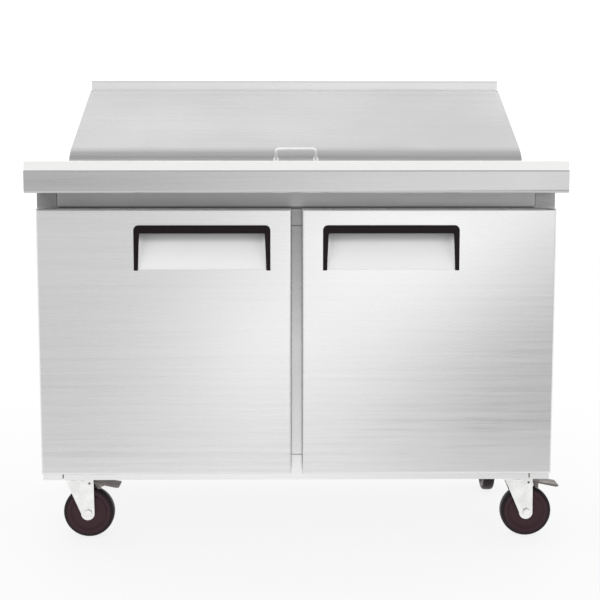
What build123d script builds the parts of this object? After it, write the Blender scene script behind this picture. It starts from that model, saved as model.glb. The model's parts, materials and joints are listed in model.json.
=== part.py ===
from build123d import *
from math import cos, radians, sin, tan
import os

# Sandwich prep table: a two-door refrigerated cabinet on casters, with a sloped insulated lid over
# two rows of food pans, and a cutting board on a shelf along the front.
# Millimetres. X to the right, Y from the front to the back, Z up. The origin is on the floor,
# under the middle of the table.

# ---- driving dimensions -------------------------------------------------------------------
half_width = 610.4
counter_half = 611.0
front_y = -381.0            # front of the cutting board and of the shelf under it
face_y = -233.0             # front face of the cabinet, which the doors close against
back_y = 381.0
cabinet_bottom = 159.5      # mounting height of the casters
counter_top = 903.6
skin = 1.2                  # outer sheets
wall = 49.4                 # an insulated wall, skins and foam together
flange_in = 563.8           # near edge of a side panel's front flange
gap = 0.2                   # between foam and the sheet around it
seam = 1.4                  # open joint between the mullion and a rail

opening_low = 221.0         # door openings
opening_high = 773.0
inner_half = half_width - wall
rail_back = face_y + 50.0
mullion_half = 30.0
mullion_back = face_y + 40.0
hump_y = 130.0              # front of the step over the machine compartment
hump_z = 470.0
inner_back = 331.0
machine_front = 180.0       # front of the machine compartment's floor
machine_floor = 162.2       # what stands on that floor starts here
grille_top = 448.6

apron_low = 853.3
board_high = 924.0
board_back = -89.0
shelf_back = -62.0

riser_front = 352.0
riser_half = 564.0
riser_high = 1142.0

lid_half = 563.5
lid_front = -53.5
lid_back = 341.0
lid_low = 905.0
lid_slope = 24.9            # degrees
lid_nose = 30.0             # radius of the tight part of the bend at the front
lid_shoulder = 150.0        # radius of the easy part above it
shoulder_angle = 50.0       # where the two parts meet, in degrees above the horizontal
lid_back_bend = 6.0
lid_thick = 22.0
slope_point = (-15.0, 954.5)
lid_axis = (334.0, 1107.0)
lid_pin = 4.0
lid_notch = (558.5, 321.0)  # cut out of the lid's back corners for its hinge ears: from this X and Y
lid_ends_back = 317.0       # back of the foam and of the liner's foot at the lid's two ends

pan_pitch = (177.5, 164.0)
pan_rim = (176.0, 162.0)
pan_depth = 100.0
pan_rows_y = 136.0          # middle of the two rows
pan_opening = (521.0, 153.0)

door_in = 12.5              # edge nearest the middle
door_out = 603.0
door_low = 187.5
door_high = 814.3
door_front = -293.0
door_back = -243.0
door_sheet = 1.0
door_axis = (588.0, -268.0)
door_pin = 5.0
running = 0.05              # radial clearance of a pin in its hole
hinge_notch = 4.6           # depth of the notch for a hinge arm, in the door's top and bottom
notch_near = (door_axis[0] - 9.5, door_out + 1)

pull_in = 61.0              # handle recess, from its near edge to its far edge
pull_out = 378.0
pull_low = 671.6
pull_high = 776.6
pull_bar = 19.0
pull_depth = 30.0

caster_x = 540.0
caster_inset = 75.0         # swivel axis from the cabinet's front and back
wheel_radius = 62.5
wheel_width = 32.0
trail = 28.0
plate_low = 155.5
kingpin = 8.0
axle = 6.0

fan_z = 640.0
evaporator_front = 236.0
condenser_fan = (240.0, 285.0)
thermostat_at = (100.0, 570.0)
inlet_at = (520.0, 230.0)

os.makedirs("parts", exist_ok=True)


# ---- helpers ------------------------------------------------------------------------------
def block(x, y, z, mode=Mode.ADD):
    """A box, from its lowest to its highest X, Y and Z."""
    middle = tuple((low + high) / 2 for low, high in (x, y, z))
    with Locations(middle):
        Box(x[1] - x[0], y[1] - y[0], z[1] - z[0], mode=mode)


def prism_x(points, x, mode=Mode.ADD):
    """A (Y, Z) outline, extruded from one X to another."""
    with BuildSketch(Plane.YZ.offset(x[0])) as outline:
        Polygon(*points, align=None)
    extrude(outline.sketch, amount=x[1] - x[0], mode=mode)


def rod(start, end, radius, mode=Mode.ADD):
    """A round bar between two points."""
    axis = Vector(*end) - Vector(*start)
    with BuildSketch(Plane(origin=start, z_dir=axis)) as section:
        Circle(radius)
    extrude(section.sketch, amount=axis.length, mode=mode)


def save(piece, name):
    piece.label = name
    export_step(piece, f"parts/{name}.step")


def save_pair(piece, name):
    """The right-hand piece, and its mirror image on the left."""
    save(piece, f"{name}_right")
    save(piece.mirror(Plane.YZ), f"{name}_left")


# ---- cabinet skins ------------------------------------------------------------------------
counter_x = (-counter_half, counter_half)
back_x = (-half_width + skin, half_width - skin)
inner_x = (-inner_half, inner_half)
skin_top = counter_top - 1.5

with BuildPart() as side_panel:
    side_z = (cabinet_bottom, skin_top - 0.1)
    block((half_width - skin, half_width), (face_y, back_y), side_z)
    block((flange_in, half_width), (face_y, face_y + skin), side_z)
save_pair(side_panel.part, "side_panel")

with BuildPart() as back_panel:
    block(back_x, (back_y - skin, back_y), (grille_top + 0.4, skin_top - 0.1))
save(back_panel.part, "back_panel")

with BuildPart() as bottom_panel:
    block(back_x, (rail_back, machine_front), (cabinet_bottom, cabinet_bottom + skin))
save(bottom_panel.part, "bottom_panel")


def channel(x, y, z):
    """A rail folded from sheet, closed in front and open at the back."""
    block(x, y, z)
    open_z = (z[0] + skin, z[1] - skin)
    block((x[0] + skin, x[1] - skin), (y[0] + skin, y[1] + 1), open_z, mode=Mode.SUBTRACT)


with BuildPart() as front_top_rail:
    channel(inner_x, (face_y, rail_back), (opening_high, skin_top - 0.1))
save(front_top_rail.part, "front_top_rail")

with BuildPart() as front_bottom_rail:
    channel(inner_x, (face_y, rail_back), (cabinet_bottom, opening_low - skin))
save(front_bottom_rail.part, "front_bottom_rail")

with BuildPart() as centre_mullion:
    mullion_z = (opening_low + seam, opening_high - seam)
    channel((-mullion_half, mullion_half), (face_y, mullion_back), mullion_z)
save(centre_mullion.part, "centre_mullion")

# The liner is a stepped tub, open at the front and the top.
with BuildPart() as inner_liner:
    outer_front = face_y + skin
    prism_x(
        [
            (outer_front, opening_low - skin),
            (hump_y + skin, opening_low - skin),
            (hump_y + skin, hump_z - skin),
            (inner_back + skin, hump_z - skin),
            (inner_back + skin, 900),
            (outer_front, 900),
        ],
        (-inner_half - skin, inner_half + skin),
    )
    prism_x(
        [
            (outer_front - 1, opening_low),
            (hump_y, opening_low),
            (hump_y, hump_z),
            (inner_back, hump_z),
            (inner_back, 901),
            (outer_front - 1, 901),
        ],
        inner_x,
        mode=Mode.SUBTRACT,
    )
save(inner_liner.part, "inner_liner")

# Foam fills each wall, rail and step. The slabs stay a little apart from each other.
with BuildPart() as insulation:
    foam_top = skin_top - 0.5
    side_foam = (inner_half + skin + gap, half_width - skin - gap)
    under_floor = (cabinet_bottom + 3, opening_low - skin - gap)
    for side in (side_foam, (-side_foam[1], -side_foam[0])):
        block(side, (face_y + skin + gap, back_y - skin - gap), (cabinet_bottom + 3, foam_top))
    slab_x = (-inner_half, inner_half)
    block(slab_x, (rail_back + 1, hump_y + skin), under_floor)
    block(slab_x, (hump_y + skin + gap, machine_front), (cabinet_bottom + 3, hump_z - skin - gap))
    block(slab_x, (machine_front + 0.5, back_y - skin - gap), (420, hump_z - skin - gap))
    block(slab_x, (inner_back + skin + gap, back_y - skin - gap), (hump_z, foam_top))
    rail_x = (-inner_half + 2, inner_half - 2)
    rail_y = (face_y + skin + gap, rail_back)
    block(rail_x, rail_y, (opening_high + skin + gap, skin_top - skin - 0.5))
    block(rail_x, rail_y, (cabinet_bottom + skin + gap, opening_low - 2 * skin - gap))
    mullion_x = (-mullion_half + skin + gap, mullion_half - skin - gap)
    mullion_foam = (mullion_z[0] + skin + gap, mullion_z[1] - skin - gap)
    block(mullion_x, (face_y + skin + gap, mullion_back), mullion_foam)
    block(slab_x, (rail_back + 1, -24), (855, skin_top - gap))
    riser_foam = (counter_top + 1, riser_high - 2)
    block((-riser_half + 2, riser_half - 2), (riser_front + 2, back_y - 2), riser_foam)
save(insulation.part, "insulation")

# ---- counter ------------------------------------------------------------------------------
with BuildPart() as counter_shelf:
    sheet = 1.5
    with BuildSketch(Plane.YZ.offset(-counter_half)) as apron:
        with Locations(((front_y + shelf_back) / 2, (apron_low + counter_top) / 2)):
            Rectangle(shelf_back - front_y, counter_top - apron_low)
        front_corners = apron.vertices().group_by(Axis.X)[0].sort_by(Axis.Y)
        fillet(front_corners[0], 8)
        fillet(apron.vertices().group_by(Axis.Y)[-1].sort_by(Axis.X)[0], 2.5)
    extrude(amount=2 * counter_half)
    with BuildSketch(Plane.YZ.offset(-counter_half + sheet)) as hollow:
        low, high = apron_low + sheet, counter_top - sheet
        with Locations(((front_y + sheet + face_y) / 2, (low + high) / 2)):
            Rectangle(face_y - front_y - sheet, high - low)
        fillet(hollow.vertices().group_by(Axis.X)[0].sort_by(Axis.Y)[0], 6.5)
    extrude(amount=2 * (counter_half - sheet), mode=Mode.SUBTRACT)
    inside = (-counter_half + sheet, counter_half - sheet)
    block(inside, (front_y + 24, face_y), (apron_low - 1, apron_low + 3), mode=Mode.SUBTRACT)
    block(counter_x, (face_y, shelf_back), (apron_low - 1, counter_top - sheet), mode=Mode.SUBTRACT)
save(counter_shelf.part, "counter_shelf")

with BuildPart() as shelf_brackets:
    gusset = [(face_y, 858), (-375, 888), (-375, skin_top - gap), (face_y, skin_top - gap)]
    for x in (-500, -170, 170, 500):
        prism_x(gusset, (x - 1.5, x + 1.5))
save(shelf_brackets.part, "shelf_brackets")

with BuildPart() as cutting_board:
    block(counter_x, (front_y, board_back), (counter_top + 0.1, board_high))
    fillet(cutting_board.edges().filter_by(Axis.Z), 5)
    fillet(cutting_board.faces().sort_by(Axis.Z)[-1].edges(), 2)
save(cutting_board.part, "cutting_board")

# The top sheet has a lip turned down all round the opening for the pans.
with BuildPart() as pan_frame:
    sheet = 1.5
    block(counter_x, (shelf_back, back_y), (counter_top - sheet, counter_top))
    open_x = (-pan_opening[0], pan_opening[0])
    open_y = (pan_rows_y - pan_opening[1], pan_rows_y + pan_opening[1])
    lip_x = (open_x[0] - sheet, open_x[1] + sheet)
    lip_y = (open_y[0] - sheet, open_y[1] + sheet)
    block(lip_x, lip_y, (counter_top - 16, counter_top))
    block(open_x, open_y, (counter_top - 20, counter_top + 1), mode=Mode.SUBTRACT)
save(pan_frame.part, "pan_frame")

with BuildPart() as adapter_bars:
    for column in range(-2, 3):
        x = column * pan_pitch[0]
        block((x - 10, x + 10), (open_y[0] + gap, open_y[1] - gap), (counter_top - 6, counter_top - gap))
save(adapter_bars.part, "adapter_bars")

with BuildPart() as food_pans:
    wall_sheet = 1.0
    body = (pan_rim[0] - 26, pan_rim[1] - 26)
    with BuildSketch(Plane.XY.offset(counter_top + 0.1)) as rims:
        with GridLocations(*pan_pitch, 6, 2):
            with Locations((0, pan_rows_y)):
                RectangleRounded(*pan_rim, 18)
    extrude(amount=wall_sheet)
    for column in range(6):
        for row in range(2):
            x = (column - 2.5) * pan_pitch[0]
            y = pan_rows_y + (row - 0.5) * pan_pitch[1]
            mouth = Plane((x, y, counter_top + 0.1))
            with BuildSketch(mouth) as outside:
                RectangleRounded(*body, 22)
            extrude(outside.sketch, amount=-pan_depth, taper=3)
            with BuildSketch(mouth.offset(wall_sheet)) as within:
                RectangleRounded(body[0] - 2, body[1] - 2, 21)
            extrude(within.sketch, amount=-pan_depth, taper=3, mode=Mode.SUBTRACT)
save(food_pans.part, "food_pans")

with BuildPart() as rear_riser:
    block((-riser_half, riser_half), (riser_front, back_y), (counter_top, riser_high))
    fillet(rear_riser.edges().filter_by(Axis.X).group_by(Axis.Z)[-1], 3)
    riser_inside = (-riser_half + sheet, riser_half - sheet)
    riser_y = (riser_front + sheet, back_y - sheet)
    block(riser_inside, riser_y, (counter_top - 1, riser_high - sheet), mode=Mode.SUBTRACT)
save(rear_riser.part, "rear_riser")

# ---- lid ----------------------------------------------------------------------------------
slope = radians(lid_slope)


def slope_z(y, inset=0.0):
    """Height of the sloping sheet at y, or of a surface that far inside it."""
    return slope_point[1] + tan(slope) * (y - slope_point[0]) - inset / cos(slope)


def outward(angle):
    """The direction that many degrees above straight ahead, as (Y, Z)."""
    return Vector(-cos(radians(angle)), sin(radians(angle)))


nose_y = lid_front + lid_nose
change = outward(shoulder_angle)
slope_normal = outward(90 - lid_slope)
shoulder_y = nose_y - (lid_shoulder - lid_nose) * change.X
bend_start_y = shoulder_y + lid_shoulder * slope_normal.X
shoulder_z = slope_z(bend_start_y) - lid_shoulder * slope_normal.Y
nose_z = shoulder_z + (lid_shoulder - lid_nose) * change.Y


def lid_section(x, inset, low, back, back_bend=0.0, mode=Mode.ADD):
    """The lid's side outline, a distance inside its outer surface, extruded from one X to another."""
    front = lid_front + inset
    easy = shoulder_angle + lid_slope - 90
    with BuildSketch(Plane.YZ.offset(x[0])) as section:
        with BuildLine():
            rise = Line((front, low), (front, nose_z))
            bend = CenterArc((nose_y, nose_z), lid_nose - inset, 180, -shoulder_angle)
            ease = CenterArc((shoulder_y, shoulder_z), lid_shoulder - inset, 180 - shoulder_angle, easy)
            top = Line(ease @ 1, (back, slope_z(back, inset)))
            Polyline(top @ 1, (back, low), rise @ 0)
        make_face()
        if back_bend:
            fillet(section.vertices().sort_by(Axis.Y)[-1], back_bend)
    extrude(section.sketch, amount=x[1] - x[0], mode=mode)


lid_x = (-lid_half, lid_half)

with BuildPart() as lid_shell:
    shell_x = (1 - lid_half, lid_half - 1)
    lid_section(lid_x, 0, lid_low, lid_back, lid_back_bend)
    lid_section(shell_x, 1, lid_low - 5, lid_back - 1, lid_back_bend - 1, mode=Mode.SUBTRACT)
    # the back edge is closed only as deep as the lid is thick
    below_edge = (lid_low - 5, slope_z(lid_back, lid_thick))
    block(shell_x, (lid_back - 5, lid_back + 1), below_edge, mode=Mode.SUBTRACT)
    # a block at each end, that the hinge pin turns in, beside a notch for the hinge's ear
    notch_x, notch_y = lid_notch
    boss = [
        (notch_y - 1, 1086),
        (lid_back, 1094),
        (lid_back, slope_z(lid_back) - 4.5),
        (lid_back - 4.5, slope_z(lid_back - 4.5, 0.5)),
        (notch_y - 1, slope_z(notch_y - 1, 0.5)),
    ]
    for side in (1, -1):
        prism_x(boss, tuple(sorted((side * (notch_x - 12), side * (lid_half - 0.5)))))
        notch = tuple(sorted((side * notch_x, side * (lid_half + 1))))
        block(notch, (notch_y, lid_back + 1), (1080, 1130), mode=Mode.SUBTRACT)
    rod((-lid_half, *lid_axis), (lid_half, *lid_axis), lid_pin + running, mode=Mode.SUBTRACT)
save(lid_shell.part, "lid_shell")

with BuildPart() as lid_liner:
    inner = lid_half - lid_thick
    lid_section((-inner, inner), lid_thick, lid_low + 0.2, lid_back - 2)
    lid_section((1 - inner, inner - 1), lid_thick + 1, lid_low - 5, lid_back + 5, mode=Mode.SUBTRACT)
    foot_z = (lid_low + 0.2, lid_low + 1.2)
    foot_x = lid_half - 1 - gap
    for side in ((inner - 1, foot_x), (-foot_x, 1 - inner)):
        block(side, (lid_front + 1 + gap, lid_ends_back), foot_z)
    block((-foot_x, foot_x), (lid_front + 1 + gap, lid_front + lid_thick + 1), foot_z)
save(lid_liner.part, "lid_liner")

with BuildPart() as lid_insulation:
    outer, inside = 1 + gap, lid_thick - gap

    def under(y, depth):
        """A point on the slope, moved straight in from the outer surface."""
        return (y - slope_normal.X * depth, slope_z(y) - slope_normal.Y * depth)

    first = bend_start_y + 1
    last = lid_back - 14
    prism_x(
        [under(first, outer), under(last, outer), under(last, inside), under(first, inside)],
        (1 - inner, inner - 1),
    )
    low = lid_low + 1.4
    front = lid_front + outer

    def on_bend(angle):
        """A point just inside the bend of the outer sheet."""
        direction = outward(angle)
        if angle < shoulder_angle:
            return (nose_y + (lid_nose - outer) * direction.X, nose_z + (lid_nose - outer) * direction.Y)
        reach = lid_shoulder - outer
        return (shoulder_y + reach * direction.X, shoulder_z + reach * direction.Y)

    curve = [on_bend(angle) for angle in (0, 15, 30, 45, 50, 57, 90 - lid_slope)]
    # the liner's own bend bounds this slab behind, so it is cut along a tangent to that bend
    tangent = outward(32)
    clear = lid_nose - lid_thick + gap
    start = Vector(bend_start_y - nose_y, slope_z(bend_start_y) - nose_z)
    throat = (start.dot(tangent) - clear) / slope_normal.dot(tangent)
    heel = (nose_y - (clear - (low - nose_z) * tangent.Y) / -tangent.X, low)
    prism_x([(front, low), *curve, under(bend_start_y, throat), heel], (1 - inner, inner - 1))
    side_outline = [(front, low), *curve, under(lid_ends_back, outer), (lid_ends_back, low)]
    for side in ((inner + gap, foot_x), (-foot_x, -inner - gap)):
        prism_x(side_outline, side)
save(lid_insulation.part, "lid_insulation")

# A pull bent from round wire, standing up and forward from the nose of the lid.
with BuildPart() as lid_handle:
    wire = 3.0
    lean = outward(28)
    foot = (nose_y + (lid_nose + 0.1) * lean.X, nose_z + (lid_nose + 0.1) * lean.Y)
    root = (foot[0] + 1.6 * lean.X, foot[1] + 1.6 * lean.Y)
    reach = (-22.5, 26.8)
    grip = (foot[0] + reach[0], foot[1] + reach[1])
    half_grip = 49.5
    with BuildLine() as path:
        FilletPolyline(
            (-half_grip, *root), (-half_grip, *grip), (half_grip, *grip), (half_grip, *root), radius=9
        )
    direction = (0, grip[0] - root[0], grip[1] - root[1])
    with BuildSketch(Plane(origin=(-half_grip, *root), z_dir=direction)):
        Circle(wire)
    sweep(path=path.line)
    for x in (-half_grip, half_grip):
        with BuildSketch(Plane(origin=(x, *foot), z_dir=(0, lean.X, lean.Y))):
            Circle(7)
        extrude(amount=2.5)
save(lid_handle.part, "lid_handle")

# Ears on the riser, with the pins that carry the lid. They fill the notches in its back corners.
with BuildPart() as lid_hinge_brackets:
    ear = (notch_x + 1, lid_half - 1)
    ear_z = (lid_axis[1] - 8, lid_axis[1] + 8)
    for side in (1, -1):
        block(tuple(sorted(side * x for x in ear)), (lid_axis[0], riser_front), ear_z)
        rod((side * ear[0], *lid_axis), (side * ear[1], *lid_axis), 8)
        foot = tuple(sorted((side * (notch_x - 18), side * ear[1])))
        block(foot, (riser_front - 1.5, riser_front), ear_z)
        rod((side * ear[1], *lid_axis), (side * (notch_x - 10), *lid_axis), lid_pin)
save(lid_hinge_brackets.part, "lid_hinge_brackets")

# ---- doors, the right-hand one modelled and then mirrored ---------------------------------
with BuildPart() as door_skin:
    block((door_in, door_out), (door_front, door_back), (door_low, door_high))
    fillet(door_skin.faces().sort_by(Axis.Y)[0].edges(), 5)
    offset(amount=-door_sheet, openings=door_skin.faces().sort_by(Axis.Y)[-1])
    # a pocket behind the handle, with a sloping floor that meets the front at its foot
    pocket_back = door_front + pull_depth
    ramp_top = pull_low + 76
    pocket_x = (pull_in + 5, pull_out - 5)
    pocket = [
        (door_front - 1, pull_low + 2),
        (door_front + 1, pull_low + 2),
        (pocket_back, ramp_top),
        (pocket_back, pull_high - 1),
        (door_front - 1, pull_high - 1),
    ]
    shell = [
        (door_front + 0.5, pull_low + 0.5),
        (pocket_back + door_sheet, ramp_top - 0.5),
        (pocket_back + door_sheet, pull_high),
        (door_front + 0.5, pull_high),
    ]
    prism_x(shell, (pocket_x[0] - door_sheet, pocket_x[1] + door_sheet))
    prism_x(pocket, pocket_x, mode=Mode.SUBTRACT)
    # blocks at the hinge corners, notched for the hinge arms and bored for their pins
    pin_x, pin_y = door_axis
    block_y = (pin_y - 15.5, door_back - 1.2)
    for low, high in ((door_low + 0.5, door_low + 25), (door_high - 25, door_high - 0.5)):
        block((pin_x - 12, door_out - 0.5), block_y, (low, high))
    for notch_z in ((door_low - 1, door_low + hinge_notch), (door_high - hinge_notch, door_high + 1)):
        block(notch_near, (pin_y - 15, door_back + 1), notch_z, mode=Mode.SUBTRACT)
    for start, end in ((door_low - 1, door_low + 26), (door_high - 26, door_high + 1)):
        rod((pin_x, pin_y, start), (pin_x, pin_y, end), door_pin + running, mode=Mode.SUBTRACT)
save_pair(door_skin.part, "door_skin")

with BuildPart() as door_insulation:
    foam_x = (door_in + 3.5, door_out - 3.5)
    foam_y = (door_front + 3, door_back - 1.2)
    foam_z = (door_low + 3.5, door_high - 3.5)
    inside_block = pin_x - 13
    block((foam_x[0], inside_block), foam_y, (foam_z[0], door_low + 26))
    block(foam_x, foam_y, (door_low + 26.4, pull_low - 0.4))
    block((foam_x[0], pull_in - 0.5), foam_y, (pull_low, pull_high + 0.6))
    block((pull_out + 0.5, foam_x[1]), foam_y, (pull_low, pull_high + 0.6))
    behind = [
        (foam_y[0], pull_low),
        (foam_y[1], pull_low),
        (foam_y[1], pull_high + 0.6),
        (pocket_back + 1.5, pull_high + 0.6),
        (pocket_back + 1.5, ramp_top - 1.5),
    ]
    prism_x(behind, (pull_in, pull_out))
    block((foam_x[0], inside_block), foam_y, (pull_high + 1, foam_z[1]))
save_pair(door_insulation.part, "door_insulation")

with BuildPart() as door_liner:
    liner_x = (door_in + door_sheet + 0.5, door_out - door_sheet - 0.5)
    liner_z = (door_low + door_sheet + 0.5, door_high - door_sheet - 0.5)
    block(liner_x, (door_back - 1, door_back), liner_z)
    for notch_z in ((door_low, door_low + hinge_notch), (door_high - hinge_notch, door_high)):
        block(notch_near, (door_back - 2, door_back + 1), notch_z, mode=Mode.SUBTRACT)
save_pair(door_liner.part, "door_liner")

with BuildPart() as door_gasket:
    gasket_y = (door_back + 0.1, door_back + 8.8)
    block((14.5, 584), gasket_y, (200, 794))
    fillet(door_gasket.edges().filter_by(Axis.Y), 6)
    block((28.5, 570), (gasket_y[0] - 1, gasket_y[1] + 1), (214, 780), mode=Mode.SUBTRACT)
    fillet(door_gasket.faces().sort_by(Axis.Y)[-1].edges(), 2.5)
save_pair(door_gasket.part, "door_gasket")

# The handle is a plastic frame over three sides of the pocket. Fingers hook behind its bar.
with BuildPart() as door_handle:
    bar_low = pull_high - pull_bar
    with BuildSketch(Plane.XZ.offset(-door_front)) as frame:
        with BuildLine():
            Polyline(
                (pull_in, pull_low),
                (pull_in, pull_high),
                (pull_out, pull_high),
                (pull_out, pull_low),
                (pull_out - 9.5, pull_low),
                (pull_out - 13.2, bar_low),
                (pull_in + 13.2, bar_low),
                (pull_in + 9.5, pull_low),
                close=True,
            )
        make_face()
        fillet(frame.vertices().group_by(Axis.Y)[-1], 12)
        fillet(frame.vertices().filter_by(lambda v: abs(v.Y - bar_low) < 0.01), 3)
    extrude(amount=3.2)
    fillet(door_handle.faces().sort_by(Axis.Y)[0].edges(), 1.2)
    grip_x = (pocket_x[0] + 1, pocket_x[1] - 1)
    block(grip_x, (door_front - 1, door_front + 9), (bar_low, pull_high - 2))
save_pair(door_handle.part, "door_handle")

# A flat arm above and below each door, welded to the side panel's flange, and carrying a pin.
with BuildPart() as door_hinge_brackets:
    arm_half = 7.5
    for side in (1, -1):
        pin = side * pin_x
        for low, tip in ((door_high - 3.8, door_high - 22), (door_low + 0.8, door_low + 22)):
            block((pin - arm_half, pin + arm_half), (pin_y, face_y), (low, low + 3))
            rod((pin, pin_y, low), (pin, pin_y, low + 3), arm_half)
            rod((pin, pin_y, low + 1.5), (pin, pin_y, tip), door_pin)
save(door_hinge_brackets.part, "door_hinge_brackets")

# ---- inside the cabinet -------------------------------------------------------------------
shelf_z = 500.0
with BuildPart() as wire_shelves:
    for side in (1, -1):
        ends = (side * 38, side * 548)
        sides = (-150, 300)
        for y in (sides[0], 0, 150, sides[1]):
            rod((ends[0], y, shelf_z), (ends[1], y, shelf_z), 3.5)
        for x in [ends[0] + side * 30 * n for n in range(18)]:
            rod((x, sides[0], shelf_z), (x, sides[1], shelf_z), 2.5)
save(wire_shelves.part, "wire_shelves")

with BuildPart() as shelf_supports:
    clip_z = (shelf_z - 9, shelf_z - 4)
    for side in (1, -1):
        post_x = tuple(sorted((side * (inner_half - 0.3), side * (inner_half - 3.3))))
        clip_x = tuple(sorted((side * (inner_half - 0.3), side * 520)))
        block(post_x, (-140, -112), (240, 790))
        block(clip_x, (-155, -120), clip_z)
        block(post_x, (270, 298), (hump_z + 4, 790))
        block(clip_x, (280, 305), clip_z)
    block((-14, 14), (mullion_back + 0.3, mullion_back + 3.3), (240, 765))
    block((-60, 60), (mullion_back + 0.3, -140), clip_z)
    block((-14, 14), (inner_back - 3.3, inner_back - 0.3), (hump_z + 4, 530))
    block((-60, 60), (285, inner_back - 0.3), clip_z)
save(shelf_supports.part, "shelf_supports")


def finned_coil(x, y, z, pitch):
    """Upright fins on rows of tubes that run from side to side."""
    fins = int((x[1] - x[0]) / pitch)
    for n in range(fins + 1):
        at = x[0] + n * (x[1] - x[0]) / fins
        block((at - 0.6, at + 0.6), y, z)
    rows = int((z[1] - z[0]) / 45)
    for row in range(rows):
        height = z[0] + (row + 0.5) * (z[1] - z[0]) / rows
        middle = (y[0] + y[1]) / 2
        rod((x[0] - 12, middle, height), (x[1] + 12, middle, height), 5)


def fan(x, z, y, radius, blades):
    """A hub with pitched blades, turning about Y."""
    rod((x, y - 8, z), (x, y + 8, z), 0.3 * radius)
    pitch = radians(28)
    for n in range(blades):
        turn = radians(360 * n / blades)
        outward = Vector(cos(turn), 0, sin(turn))
        chord = Vector(-sin(turn) * cos(pitch), sin(pitch), cos(turn) * cos(pitch))
        root = Vector(x, y, z) + outward * (0.25 * radius)
        with BuildSketch(Plane(origin=root, x_dir=chord, z_dir=outward)) as section:
            Rectangle(0.5 * radius, 1.6)
        extrude(section.sketch, amount=0.75 * radius)


evaporator_x = (-290.0, 290.0)
with BuildPart() as evaporator_coil:
    finned_coil((-262, 262), (288, 326), (556, 724), 13)
save(evaporator_coil.part, "evaporator_coil")

with BuildPart() as evaporator_cover:
    cover_y = (evaporator_front, inner_back - 0.3)
    block(evaporator_x, cover_y, (536, 745))
    block((-289, 289), (cover_y[0] + 1, cover_y[1] + 1), (537, 744), mode=Mode.SUBTRACT)
    with BuildSketch(Plane.XZ.offset(-evaporator_front + 1)):
        with Locations((0, fan_z)):
            Circle(62)
        for side in (-1, 1):
            with Locations((side * 190, fan_z)):
                with GridLocations(1, 22, 1, 7):
                    SlotOverall(110, 8)
    extrude(amount=-5, mode=Mode.SUBTRACT)
    with BuildSketch(Plane.XZ.offset(-evaporator_front)):
        with Locations(thermostat_at):
            Circle(6)
    extrude(amount=-5, mode=Mode.SUBTRACT)
save(evaporator_cover.part, "evaporator_cover")

with BuildPart() as evaporator_fan:
    fan(0, fan_z, evaporator_front + 14, 56, 5)
    bore = (evaporator_front + 1, evaporator_front + 40)
    rod((0, bore[0], fan_z), (0, bore[1], fan_z), 3 + running, mode=Mode.SUBTRACT)
save(evaporator_fan.part, "evaporator_fan")

fan_x, machine_fan_z = condenser_fan
with BuildPart() as condenser_fan_blades:
    fan(fan_x, machine_fan_z, 290, 88, 5)
    rod((fan_x, 260, machine_fan_z), (fan_x, 320, machine_fan_z), 4 + running, mode=Mode.SUBTRACT)
save(condenser_fan_blades.part, "condenser_fan")

# Each motor hangs on a strap that reaches the cover or frame on both sides.
with BuildPart() as fan_motors:
    motor_y = evaporator_front + 25
    rod((0, evaporator_front + 6, fan_z), (0, motor_y, fan_z), 3)
    rod((0, motor_y, fan_z), (0, motor_y + 22, fan_z), 24)
    block((-288.8, 288.8), (motor_y + 16, motor_y + 18), (fan_z - 8, fan_z + 8))
    rod((fan_x, 281, machine_fan_z), (fan_x, 305, machine_fan_z), 4)
    rod((fan_x, 305, machine_fan_z), (fan_x, 350, machine_fan_z), 36)
    block((fan_x - 6, fan_x + 6), (335, 341), (machine_floor, machine_fan_z - 30))
    block((fan_x - 30, fan_x + 30), (318, 348), (machine_floor, machine_floor + 2.8))
save(fan_motors.part, "fan_motors")

knob_x, knob_z = thermostat_at
with BuildPart() as thermostat:
    case_y = (evaporator_front + 1.3, evaporator_front + 30)
    block((knob_x - 30, knob_x + 30), case_y, (knob_z - 25, knob_z + 25))
    rod((knob_x, evaporator_front + 2, knob_z), (knob_x, evaporator_front - 12, knob_z), 3)
save(thermostat.part, "thermostat")

with BuildPart() as thermostat_knob:
    rod((knob_x, evaporator_front - 1, knob_z), (knob_x, evaporator_front - 17, knob_z), 17)
    fillet(thermostat_knob.faces().sort_by(Axis.Y)[0].edges(), 2)
    pointer_y = (evaporator_front - 19, evaporator_front - 16)
    block((knob_x - 1.5, knob_x + 1.5), pointer_y, (knob_z, knob_z + 15))
    bore_y = (evaporator_front, evaporator_front - 13)
    rod((knob_x, bore_y[0], knob_z), (knob_x, bore_y[1], knob_z), 3 + running, mode=Mode.SUBTRACT)
save(thermostat_knob.part, "thermostat_knob")

# ---- machine compartment ------------------------------------------------------------------
with BuildPart() as machine_base:
    base_y = (machine_front + 1, back_y - skin - 0.5)
    block(back_x, base_y, (cabinet_bottom, cabinet_bottom + 2.5))
save(machine_base.part, "machine_base")

with BuildPart() as compressor:
    middle = (-330.0, 284.0)
    with BuildSketch(Plane((*middle, 176))):
        Circle(72)
    extrude(amount=170)
    fillet(compressor.faces().sort_by(Axis.Z)[-1].edges(), 45)
    fillet(compressor.faces().sort_by(Axis.Z)[0].edges(), 12)
    rod((*middle, 262), (*middle, 268), 77)
    block((middle[0] - 95, middle[0] + 95), (middle[1] - 60, middle[1] + 60), (170, 176.5))
    for x in (-80, 80):
        for y in (-45, 45):
            post = (middle[0] + x, middle[1] + y)
            rod((*post, machine_floor), (*post, 171), 12)
    block((middle[0] + 60, middle[0] + 98), (middle[1] - 30, middle[1] + 30), (210, 280))
    for z, y in ((300, -20), (300, 20), (230, 0)):
        rod((middle[0] - 60, middle[1] + y, z), (middle[0] - 96, middle[1] + y, z), 4.8)
save(compressor.part, "compressor")

with BuildPart() as condenser_coil:
    finned_coil((90, 390), (200, 250), (176, 396), 10)
    block((84, 396), (199, 251), (machine_floor, 176.5))
    block((84, 396), (199, 251), (395.5, 399))
save(condenser_coil.part, "condenser_coil")

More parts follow.
